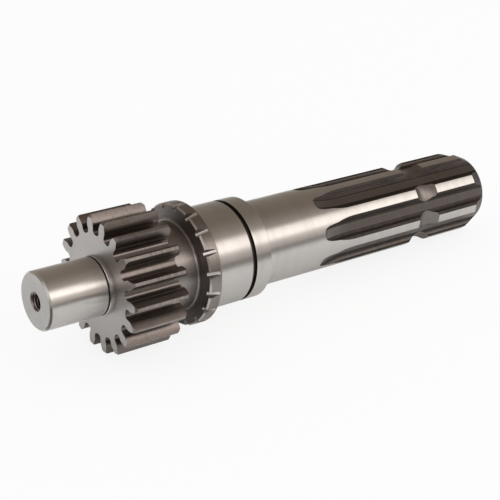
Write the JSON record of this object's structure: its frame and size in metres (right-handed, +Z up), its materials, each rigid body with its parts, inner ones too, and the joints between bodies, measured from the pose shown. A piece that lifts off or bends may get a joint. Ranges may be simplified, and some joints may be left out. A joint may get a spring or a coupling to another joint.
{
  "type": "power take-off stub shaft",
  "caption": "One-piece gear shaft that passes a gearbox's drive to a splined stub, with ground seats for two bearings and a seal.",
  "frame": {"origin": "on the shaft's axis, at the shoulder that the main bearing seats against", "axes": "+X along the axis to the splined end; +Z up, through a gap between two gear teeth"},
  "size_m": [0.2359, 0.0596, 0.059],
  "materials": {
    "shaft_steel": "ground journals and lands, milled grooves and teeth, turned faces"
  },
  "bodies": {
    "root": {"stub_shaft": "shaft_steel"}
  },
  "joints": []
}
